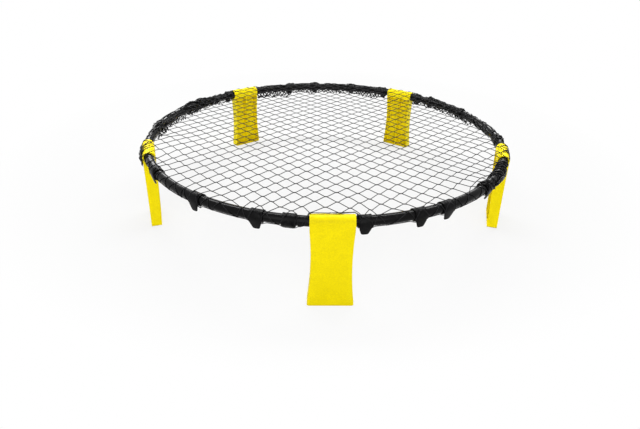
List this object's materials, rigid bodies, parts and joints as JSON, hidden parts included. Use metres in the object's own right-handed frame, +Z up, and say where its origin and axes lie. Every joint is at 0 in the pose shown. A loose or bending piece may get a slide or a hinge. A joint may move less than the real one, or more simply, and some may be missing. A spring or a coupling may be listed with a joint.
{
  "type": "roundnet set",
  "caption": "Round net trampoline for a lawn ball game: a bent tube ring on folding box-channel legs, with a diamond-mesh net hooked over the ring.",
  "frame": {"origin": "on the floor under the ring's centre", "axes": "+Z up along the ring's axis, -Y towards leg 0"},
  "size_m": [0.908, 0.9163, 0.1945],
  "materials": {
    "rim_plastic": "satin black",
    "leg_plastic": "satin yellow, finely mottled",
    "hook_plastic": "matte black",
    "net_twine": "dark grey twine"
  },
  "bodies": {
    "ring": {"rim_tube_0": "rim_plastic", "rim_tube_1": "rim_plastic", "rim_tube_2": "rim_plastic", "rim_tube_3": "rim_plastic", "rim_tube_4": "rim_plastic", "net_hook_0_0": "hook_plastic", "net_hook_0_1": "hook_plastic", "net_hook_0_2": "hook_plastic", "net_hook_0_3": "hook_plastic", "net_hook_1_0": "hook_plastic", "net_hook_1_1": "hook_plastic", "net_hook_1_2": "hook_plastic", "net_hook_1_3": "hook_plastic", "net_hook_2_0": "hook_plastic", "net_hook_2_1": "hook_plastic", "net_hook_2_2": "hook_plastic", "net_hook_2_3": "hook_plastic", "net_hook_3_0": "hook_plastic", "net_hook_3_1": "hook_plastic", "net_hook_3_2": "hook_plastic", "net_hook_3_3": "hook_plastic", "net_hook_4_0": "hook_plastic", "net_hook_4_1": "hook_plastic", "net_hook_4_2": "hook_plastic", "net_hook_4_3": "hook_plastic", "net": "net_twine"},
    "leg_0": {"leg_0": "leg_plastic"},
    "leg_1": {"leg_1": "leg_plastic"},
    "leg_2": {"leg_2": "leg_plastic"},
    "leg_3": {"leg_3": "leg_plastic"},
    "leg_4": {"leg_4": "leg_plastic"}
  },
  "joints": [
    {"name": "leg_0_fold", "type": "hinge", "parent": "ring", "child": "leg_0", "pos_m": [0, -0.43904, 0.178], "axis": [1, 0, 0], "range_deg": [0, 90]},
    {"name": "leg_1_fold", "type": "hinge", "parent": "ring", "child": "leg_1", "pos_m": [0.41756, -0.13567, 0.178], "axis": [0.309, 0.9511, 0], "range_deg": [0, 90]},
    {"name": "leg_2_fold", "type": "hinge", "parent": "ring", "child": "leg_2", "pos_m": [0.25806, 0.35519, 0.178], "axis": [-0.809, 0.5878, 0], "range_deg": [0, 90]},
    {"name": "leg_3_fold", "type": "hinge", "parent": "ring", "child": "leg_3", "pos_m": [-0.25806, 0.35519, 0.178], "axis": [-0.809, -0.5878, 0], "range_deg": [0, 90]},
    {"name": "leg_4_fold", "type": "hinge", "parent": "ring", "child": "leg_4", "pos_m": [-0.41756, -0.13567, 0.178], "axis": [0.309, -0.9511, 0], "range_deg": [0, 90]}
  ]
}
